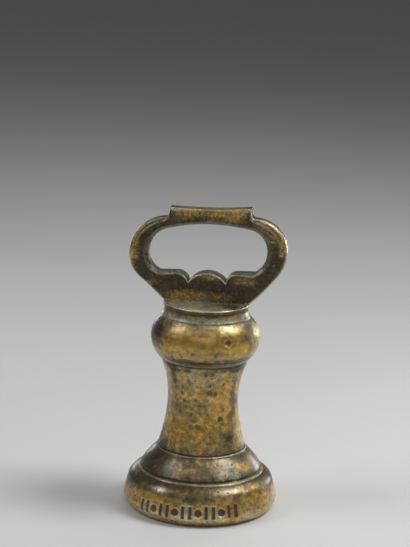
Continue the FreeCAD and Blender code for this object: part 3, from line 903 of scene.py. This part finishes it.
blow_rng = np.random.default_rng(5)
lead_x, lead_y = lead_points[:, :1] * np.sin(lead_angles), -lead_points[:, :1] * np.cos(lead_angles)
beaten = np.zeros((LEAD_ROWS, LEAD_COLUMNS))
for _ in range(HAMMER_BLOWS):
    blow_x, blow_y = blow_rng.normal(0, BLOW_SPREAD, 2)
    size, depth = blow_rng.uniform(*BLOW_SIZES), blow_rng.uniform(*BLOW_DEPTHS)
    beaten += depth * np.exp(-((lead_x - blow_x) ** 2 + (lead_y - blow_y) ** 2) / size ** 2)
lead_push = -np.minimum(beaten, DEEPEST) * (lead_points[:, 1:] < FACE_UP_TO)
lead_grid = swung(lead_points, lead_normals, lead_angles, lead_push)
lead_poles = np.array([[0, 0, LEAD_MIDDLE - lead_push[0].mean()], [0, 0, LEAD_TOP]])
lead = make_piece("hammered_lead", lead_grid, lead_poles)
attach(lead, "root")
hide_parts("lead_plug")

# %% [markdown]
# ## Small tools for nodes
# Shader nodes can be wired by hand in the editor. In a script, a few short helpers keep each material
# readable: one fills a node's inputs with links or values, one makes a node of any kind, and three do
# sums.

# %% Node tools
def fill(tree, target, inputs):
    """Links each named input of a node to a socket, or sets it to a value."""
    for name, value in inputs.items():
        if isinstance(value, bpy.types.NodeSocket):
            tree.links.new(value, target.inputs[name])
        else:
            target.inputs[name].default_value = value


def node(tree, kind, inputs=None, **settings):
    """A new node with its settings made and its inputs filled."""
    made = tree.nodes.new("ShaderNode" + kind)
    for name, value in settings.items():
        setattr(made, name, value)
    fill(tree, made, inputs or {})
    return made


def calc(tree, operation, first, second):
    """The result of one sum on two values or sockets."""
    return node(tree, "Math", {0: first, 1: second}, operation=operation).outputs[0]


def times(tree, first, second):
    """The product of two values or sockets."""
    return calc(tree, "MULTIPLY", first, second)


def plus(tree, first, second):
    """The sum of two values or sockets."""
    return calc(tree, "ADD", first, second)


print("tools for nodes and sums are ready")

# %% [markdown]
# ## Masks, colours and materials
# A few nodes come up again and again in old metal: cloudy noise, a soft step that cuts it into
# patches, and two colours laid over one another by such a mask. Node groups and materials also start
# the same way each time, so each of these is a function too.

# %% Masks, colours and materials
def mask(tree, value, low, high):
    """A soft step from 0 at low to 1 at high."""
    inputs = {"Value": value, "From Min": low, "From Max": high}
    return node(tree, "MapRange", inputs, interpolation_type="SMOOTHSTEP").outputs["Result"]


def mixed(tree, amount, first, second, blend="MIX"):
    """One colour laid over another, or blended with it in another way, by an amount between 0 and 1."""
    inputs = {0: amount, 6: first, 7: second}
    return node(tree, "Mix", inputs, data_type="RGBA", blend_type=blend).outputs[2]


def noise(tree, vector, scale, detail, roughness=0.6):
    """Cloudy noise, about 0 to 1, with features about 1 / scale metres apart."""
    inputs = {"Vector": vector, "Scale": scale, "Detail": detail, "Roughness": roughness}
    return node(tree, "TexNoise", inputs).outputs["Fac"]


def new_group(name, inputs, outputs):
    """An empty node group with its named sockets: the group, its inner inputs and its inner outputs."""
    group = bpy.data.node_groups.new(name, "ShaderNodeTree")
    for way, sockets in (("INPUT", inputs), ("OUTPUT", outputs)):
        for label, kind in sockets.items():
            group.interface.new_socket(label, in_out=way, socket_type="NodeSocket" + kind)
    return group, group.nodes.new("NodeGroupInput").outputs, group.nodes.new("NodeGroupOutput")


def new_material(name):
    """A new material, with its node tree, its shader and its Object coordinates."""
    material = bpy.data.materials.new(name)
    material.use_nodes = True
    tree = material.node_tree
    return material, tree, tree.nodes["Principled BSDF"], node(tree, "TexCoord").outputs["Object"]


print("tools for masks, colours and materials are ready")

# %% [markdown]
# ## Grain and pits of old metal
# Cast metal that has been handled for long has a fine grain and a scatter of small holes. Every piece
# here shares them, so they are one node group, and each material says how coarse and how deep. The
# holes come from Voronoi cells: only the very middle of a cell counts, and only in cells whose random
# colour is low, so that they don't fall on a regular net.

# %% Grain group
FINE_GRAIN, FINE_DETAIL, FINE_ROUGHNESS, FINE_HEIGHT = 900, 5, 0.68, 0.35
BEND_SCALE, BEND_DETAIL, BEND_BY = 500, 2, 0.0012
HOLE_RIM, HOLE_CORE = 0.36, 0.12

grains, given, result = new_group(
    "Worn grain", {"Vector": "Vector", "Scale": "Float", "Share": "Float"},
    {"Grain": "Float", "Hole": "Float", "Height": "Float"})
fine = noise(grains, given["Vector"], FINE_GRAIN, FINE_DETAIL, FINE_ROUGHNESS)
bends = node(grains, "TexNoise", {"Vector": given["Vector"], "Scale": BEND_SCALE, "Detail": BEND_DETAIL})
bend_inputs = {"Fac": BEND_BY, "Color1": given["Vector"], "Color2": bends.outputs["Color"]}
shifted = node(grains, "MixRGB", bend_inputs, blend_type="ADD")
cells = node(grains, "TexVoronoi", {"Vector": shifted.outputs[0], "Scale": given["Scale"]})
lot = node(grains, "SeparateColor", {"Color": cells.outputs["Color"]}).outputs["Red"]
chosen = calc(grains, "LESS_THAN", lot, given["Share"])
hole = times(grains, chosen, mask(grains, cells.outputs["Distance"], HOLE_RIM, HOLE_CORE))
grain_height = calc(grains, "SUBTRACT", times(grains, fine, FINE_HEIGHT), hole)
fill(grains, result, {"Grain": fine, "Hole": hole, "Height": grain_height})
print("group:", grains.name)

# %% [markdown]
# ## Where the layers of the patina lie
# Bronze starts gold, browns in the air, blackens where dirt stays and greys over with a green bloom
# where it is damp. Each layer's amount comes from the mesh. Cloudy noise and the grain are added to
# it before a soft step, which turns a smooth amount into ragged islands, and polish takes the grain
# away again. Fineness shrinks the clouds, for a casting with a closer grain than the turned bell.

# %% Patina masks
GOLD_ISLANDS = (190, 1.5, 0.26, 0.74)
DARK_ISLANDS = (260, 1.5, 0.34, 0.74)
BLOOM_ISLANDS = (300, 1.1, 0.32, 0.8)
ISLAND_DETAIL, ISLAND_ROUGHNESS = 6, 0.66
HOLE_COVER = 0.75
RUB_AND_SHEEN_STEP = (0.3, 0.55)
LAYERS = ("Gold", "Dark", "Bloom", "Pit", "Edge", "Polish")

patina, given, result = new_group(
    "Bronze patina",
    {"Vector": "Vector"} | dict.fromkeys(("Grain", "Hole", *LAYERS, "Speckle", "Fineness"), "Float"),
    {"Color": "Color", "Roughness": "Float", "Metallic": "Float"})
patina_scale = {0: given["Vector"], "Scale": given["Fineness"]}
patina_place = node(patina, "VectorMath", patina_scale, operation="SCALE").outputs[0]
unpolished = times(patina, calc(patina, "SUBTRACT", 1.0, given["Polish"]), given["Speckle"])
specks = times(patina, calc(patina, "SUBTRACT", given["Grain"], 0.5), unpolished)


def islands(amount, scale, spread, low, high):
    """An amount broken up by clouds of one size and by the grain, and cut by a soft step."""
    clouds = noise(patina, patina_place, scale, ISLAND_DETAIL, ISLAND_ROUGHNESS)
    broken = plus(patina, times(patina, calc(patina, "SUBTRACT", clouds, 0.5), spread), specks)
    return mask(patina, plus(patina, amount, broken), low, high)


gold_mask = islands(given["Gold"], *GOLD_ISLANDS)
dark_mask = islands(given["Dark"], *DARK_ISLANDS)
bloom_mask = islands(given["Bloom"], *BLOOM_ISLANDS)
# Soot in pits and holes, and painted shade in the creases and punched marks.
soot_and_shade_mask = calc(patina, "MAXIMUM", times(patina, given["Hole"], HOLE_COVER), given["Pit"])
# Pale metal on worn edges, and the painted highlights and reflections that the edge layer carries.
rubbed_and_sheen = times(patina, given["Edge"], mask(patina, given["Grain"], *RUB_AND_SHEEN_STEP))
print("masks of the patina: gold, dark, bloom, soot, rubbed edges")

# %% [markdown]
# ## The colours of the patina
# Real patina lies in layers, so the group lays its colours in that order, from the metal outwards.
# Clouds of their own vary the brown and the gold, a slow tint makes one place warmer and the next
# greener, and flecks shade all of it. Then come the rubbed edges, which also carry painted highlights
# and reflections, and the soot in the pits, which also carries painted shade in the creases and the
# punched marks.

# %% Patina colours
GOLD = (0.58, 0.368, 0.09, 1)
OCHRE = (0.43, 0.248, 0.065, 1)
TAN = (0.41, 0.295, 0.118, 1)
ROSE = (0.30, 0.21, 0.092, 1)
BROWNED = (0.135, 0.103, 0.063, 1)
BLACKENED = (0.044, 0.039, 0.025, 1)
CREAM = (0.60, 0.47, 0.23, 1)
# Pale bronze for worn edges, which also paints highlights and reflections.
SHEEN_AND_WORN_METAL = (0.78, 0.70, 0.51, 1)
BLOOM = (0.275, 0.29, 0.22, 1)
# Near black for soot in pits, which also paints shade in creases and punched marks.
SOOT_AND_SHADE = (0.028, 0.021, 0.014, 1)
WARM_TINT = (1.05, 0.965, 0.97, 1)
GREEN_TINT = (0.955, 1.03, 0.94, 1)
BROWN_CLOUDS = (130, 5, 0.4, 0.62)
GOLD_CLOUDS = (230, 5, 0.45, 0.68)
TINT_CLOUDS = (170, 4, 0.36, 0.64)
BLACK_STEP = (0.68, 0.86)
FLECK_SCALE, FLECK_DETAIL, FLECK_ROUGHNESS, FLECK_STEP = 400, 4, 0.64, (0.56, 0.72)
FLECK_COVER, DARK_COVER, BLOOM_COVER, SOOT_AND_SHADE_COVER = 0.45, 0.9, 0.7, 0.9
FLECK_SHADE, GRAIN_SHADE, SHADE_OFFSET, DEEPEST_SHADE = 2.7, 1.3, 1.0, 0.22


def clouded(first, second, scale, detail, low, high):
    """Two colours that take turns in clouds of one size."""
    return mixed(patina, mask(patina, noise(patina, patina_place, scale, detail), low, high), first, second)


flecks = noise(patina, patina_place, FLECK_SCALE, FLECK_DETAIL, FLECK_ROUGHNESS)
shade = plus(patina, times(patina, flecks, FLECK_SHADE), times(patina, given["Grain"], GRAIN_SHADE))
shade = calc(patina, "MAXIMUM", calc(patina, "SUBTRACT", shade, SHADE_OFFSET), DEEPEST_SHADE)
shade = node(patina, "Mix", {0: given["Polish"], 2: shade, 3: 1.0}).outputs[0]

dark = mixed(patina, mask(patina, given["Dark"], *BLACK_STEP), BROWNED, BLACKENED)
colour = mixed(patina, gold_mask, clouded(TAN, ROSE, *BROWN_CLOUDS), clouded(GOLD, OCHRE, *GOLD_CLOUDS))
colour = mixed(patina, times(patina, mask(patina, flecks, *FLECK_STEP), FLECK_COVER), colour, CREAM)
colour = mixed(patina, times(patina, dark_mask, DARK_COVER), colour, dark)
colour = mixed(patina, times(patina, bloom_mask, BLOOM_COVER), colour, BLOOM)
colour = mixed(patina, 1.0, colour, clouded(WARM_TINT, GREEN_TINT, *TINT_CLOUDS), "MULTIPLY")
colour = mixed(patina, 1.0, colour, shade, "MULTIPLY")
# Worn edges and painted highlights, in pale bronze.
colour = mixed(patina, rubbed_and_sheen, colour, SHEEN_AND_WORN_METAL)
# Soot, and painted shade in creases and punched marks.
colour = mixed(patina, times(patina, soot_and_shade_mask, SOOT_AND_SHADE_COVER), colour, SOOT_AND_SHADE)
print("colours of the patina:", len(patina.nodes), "nodes so far")

# %% [markdown]
# ## The gloss of the patina
# Bare metal is smooth and mirrors what is round it, and its oxides are dull. So each mask adds its
# part to the roughness or takes some away. The bloom loses some of the metallic look, and so does the
# soot with the painted shade it carries.

# %% Patina gloss
BARE_ROUGHNESS, GRAIN_ROUGHENS, CRUST_ROUGHENS, SOOT_ROUGHENS = 0.37, 0.2, 0.1, 0.3
GOLD_SMOOTHS, RUBBING_SMOOTHS = -0.06, -0.1
BARE_METALLIC, BLOOM_OXIDE, OXIDE_DULLS = 0.95, 0.45, -0.7

crust = calc(patina, "MAXIMUM", bloom_mask, dark_mask)
roughness = BARE_ROUGHNESS
for cause, by in ((given["Grain"], GRAIN_ROUGHENS), (gold_mask, GOLD_SMOOTHS), (rubbed_and_sheen, RUBBING_SMOOTHS),
                  (crust, CRUST_ROUGHENS), (soot_and_shade_mask, SOOT_ROUGHENS)):
    roughness = plus(patina, roughness, times(patina, cause, by))
oxide = calc(patina, "MAXIMUM", times(patina, bloom_mask, BLOOM_OXIDE), soot_and_shade_mask)
metallic = plus(patina, BARE_METALLIC, times(patina, oxide, OXIDE_DULLS))
fill(patina, result, {"Color": colour, "Roughness": roughness, "Metallic": metallic})
print("group:", patina.name, "with", len(patina.nodes), "nodes")

# %% [markdown]
# ## The bronze materials
# The bell, the loop and the washer inside are the same metal in three conditions. One function wires
# the two groups to the shader, and reads the amounts of each layer from the mesh where it has them.
# The washer keeps its CAD mesh, which has none, so its amounts are typed on the group instead. A thin
# coat stands for the wax and handling that give old bronze its soft shine.

# %% Bronze materials
COAT_WEIGHT, COAT_ROUGHNESS = 0.36, 0.22
BUMP_DEPTH = 0.0003
ROVE_AMOUNTS = {"Gold": 0.45, "Dark": 0.3, "Bloom": 0.15, "Pit": 0.0, "Edge": 0.0, "Polish": 0.0}


def bronze(name, hole_scale, hole_share, relief, speckle, fineness, amounts=None):
    """A bronze material with its layers read from the mesh, or set alike all over by the amounts given."""
    material, tree, shader, place = new_material(name)
    amounts = amounts or {label: node(tree, "Attribute", attribute_name=label.lower()).outputs["Fac"]
                          for label in LAYERS}
    grain_inputs = {"Vector": place, "Scale": hole_scale, "Share": hole_share}
    grain = node(tree, "Group", grain_inputs, node_tree=grains).outputs
    patina_inputs = {"Vector": place, "Grain": grain["Grain"], "Hole": grain["Hole"],
                     "Speckle": speckle, "Fineness": fineness}
    layered = node(tree, "Group", patina_inputs | amounts, node_tree=patina).outputs
    bump = node(tree, "Bump", {"Height": grain["Height"], "Strength": relief, "Distance": BUMP_DEPTH})
    fill(tree, shader, {
        "Base Color": layered["Color"], "Roughness": layered["Roughness"], "Metallic": layered["Metallic"],
        "Normal": bump.outputs["Normal"], "Coat Weight": COAT_WEIGHT, "Coat Roughness": COAT_ROUGHNESS})
    return material


turned_bronze = bronze(
    "turned_bronze", hole_scale=420, hole_share=0.12, relief=0.35, speckle=1.1, fineness=1.0)
cast_bronze = bronze(
    "cast_bronze", hole_scale=620, hole_share=0.2, relief=0.6, speckle=2.0, fineness=2.2)
rove_bronze = bronze(
    "hammered_bronze", hole_scale=500, hole_share=0.3, relief=0.7, speckle=1.1, fineness=1.0,
    amounts=ROVE_AMOUNTS)
bell.data.materials.append(turned_bronze)
loop.data.materials.append(cast_bronze)
print("bronze materials on:", bell.name, loop.name)

# %% [markdown]
# ## The washer and the lead
# The washer is a CAD piece whose shape is right, so it only changes its material. Lead tarnishes to a
# dull blue-grey with a whitish bloom in its dents. Its noise is laid on Object coordinates, which
# stand still on the piece, and it borrows the grain group with holes of its own.

# %% Washer and lead materials
LEAD_GREY = (0.17, 0.175, 0.185, 1)
LEAD_BLOOM = (0.42, 0.43, 0.43, 1)
LEAD_HOLES, LEAD_SHARE, LEAD_RELIEF = 380, 0.3, 0.5
TARNISH_SCALE, TARNISH_DETAIL, TARNISH_STEP, TARNISH_COVER = 240, 5, (0.4, 0.75), 0.7
LEAD_METALLIC, LEAD_ROUGHNESS, TARNISH_ROUGHENS = 0.6, 0.45, 0.25

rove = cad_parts["rove"]
rove.data.materials.clear()
rove.data.materials.append(rove_bronze)

lead_material, tree, shader, place = new_material("dull_lead")
grain_inputs = {"Vector": place, "Scale": LEAD_HOLES, "Share": LEAD_SHARE}
grain = node(tree, "Group", grain_inputs, node_tree=grains).outputs
tarnish = mask(tree, noise(tree, place, TARNISH_SCALE, TARNISH_DETAIL), *TARNISH_STEP)
bump = node(tree, "Bump", {"Height": grain["Height"], "Strength": LEAD_RELIEF, "Distance": BUMP_DEPTH})
fill(tree, shader, {
    "Base Color": mixed(tree, times(tree, tarnish, TARNISH_COVER), LEAD_GREY, LEAD_BLOOM),
    "Roughness": plus(tree, LEAD_ROUGHNESS, times(tree, tarnish, TARNISH_ROUGHENS)),
    "Normal": bump.outputs["Normal"], "Metallic": LEAD_METALLIC})
lead.data.materials.append(lead_material)
print("materials on:", rove.name, lead.name)

# %% [markdown]
# ## The floor
# The floor is a stage and no part of the object. It is a wide pale sheet, so that in a picture from
# above its far edge never shows. A little cloudy noise keeps it from looking like a cut-out.

# %% Floor
FLOOR_HALF = 12.0
FLOOR_Z = -0.0001
FLOOR_PALE, FLOOR_SHADE = (0.60, 0.598, 0.595, 1), (0.57, 0.568, 0.565, 1)
FLOOR_CLOUDS, FLOOR_DETAIL = 6, 4
FLOOR_ROUGHNESS, FLOOR_GLOSS = 0.75, 0.2

floor_mesh = bpy.data.meshes.new("floor")
floor_corners = [(FLOOR_HALF * x, FLOOR_HALF * y, FLOOR_Z) for x, y in ((-1, -1), (1, -1), (1, 1), (-1, 1))]
floor_mesh.from_pydata(floor_corners, [], [(0, 1, 2, 3)])
floor = bpy.data.objects.new("floor", floor_mesh)
bpy.context.scene.collection.objects.link(floor)

floor_material, tree, shader, place = new_material("pale_floor")
fill(tree, shader, {
    "Base Color": mixed(tree, noise(tree, place, FLOOR_CLOUDS, FLOOR_DETAIL), FLOOR_PALE, FLOOR_SHADE),
    "Roughness": FLOOR_ROUGHNESS, "Specular IOR Level": FLOOR_GLOSS})
floor_mesh.materials.append(floor_material)
print("floor:", 2 * FLOOR_HALF, "m wide")

# %% [markdown]
# ## Light
# Metal shows its surroundings more than its own colour, so the lamps are chosen for their
# reflections. Two square softboxes, high on the left and on the right, leave a soft patch each on the
# bulb and on the skirt. One high behind the object lights its top faces, and a large dim one in front
# lifts the faces towards the camera. Two small cards low behind it, with a narrow beam that spares
# the floor, draw a pale line down the sides. The dim grey world keeps the rest from going black. A
# lamp is a bearing and a lift in degrees, a distance and a size in metres, a power in watts and, where
# the beam is narrow, its spread in degrees.

# %% Light
AIM = Vector((0, 0, 0.5 * TIP_Z * MM))
WORLD_GREY = (0.10, 0.101, 0.103, 1)
LAMPS = {
    "left_softbox": (-70, 44, 1.0, 0.42, 3.0),
    "right_softbox": (93, 54, 0.9, 0.34, 6.4),
    "top_softbox": (170, 68, 1.2, 0.7, 3.0),
    "left_card": (-150, 2, 0.7, 0.16, 0.02, 40),
    "right_card": (146, 2, 0.7, 0.16, 0.06, 40),
    "front_fill": (8, 36, 1.2, 0.8, 1.5),
}


def unit_away(bearing, lift):
    """The direction of length 1 that has a bearing from the front and a lift above the floor, in radians."""
    return Vector((math.sin(bearing) * math.cos(lift), -math.cos(bearing) * math.cos(lift), math.sin(lift)))


def softbox(name, azimuth, elevation, distance, size, watts, spread=180):
    """A square lamp that faces the object, placed by its bearing and its lift in degrees."""
    lamp = bpy.data.lights.new(name, "AREA")
    lamp.shape, lamp.size, lamp.energy = "SQUARE", size, watts
    lamp.spread = math.radians(spread)
    away = unit_away(math.radians(azimuth), math.radians(elevation))
    holder = bpy.data.objects.new(name, lamp)
    holder.location = AIM + distance * away
    holder.rotation_euler = (-away).to_track_quat("-Z", "Y").to_euler()
    holder.visible_camera = False
    bpy.context.scene.collection.objects.link(holder)


for lamp_name, placing in LAMPS.items():
    softbox(lamp_name, *placing)
world = bpy.data.worlds.new("studio")
world.use_nodes = True
fill(world.node_tree, world.node_tree.nodes["Background"], {"Color": WORLD_GREY, "Strength": 1.0})
bpy.context.scene.world = world
bpy.context.scene.view_settings.view_transform = "Standard"
print("lamps:", [light.name for light in bpy.data.lights])

# %% [markdown]
# ## Camera
# The picture was taken with a long lens from a little above, slightly to the right of the loop's
# middle, and the camera was not quite level. The lens follows from the picture's size: a focal length
# in pixels, divided by the picture's height, is a share of the sensor's long side.

# %% Camera
PICTURE_HEIGHT = 547
FOCAL_PIXELS = 1691
SENSOR = 36.0
AZIMUTH, PITCH, ROLL = (math.radians(degrees) for degrees in (8.5, 12.8, 2.07))
CAMERA_DISTANCE = 0.85
TARGET_SIDE, TARGET_HEIGHT = -0.00128, 0.12103

back = unit_away(AZIMUTH, PITCH)
side = Vector((math.cos(AZIMUTH), math.sin(AZIMUTH), 0))
camera_data = bpy.data.cameras.new("camera")
camera_data.sensor_fit = "AUTO"
camera_data.sensor_width = SENSOR
camera_data.lens = FOCAL_PIXELS / PICTURE_HEIGHT * SENSOR
camera = bpy.data.objects.new("camera", camera_data)
camera.location = TARGET_SIDE * side + Vector((0, 0, TARGET_HEIGHT)) + CAMERA_DISTANCE * back
camera.rotation_euler = ((-back).to_track_quat("-Z", "Y") @ Quaternion((0, 0, 1), ROLL)).to_euler()
bpy.context.scene.collection.objects.link(camera)
bpy.context.scene.camera = camera
print("lens:", round(camera_data.lens, 1), "mm")
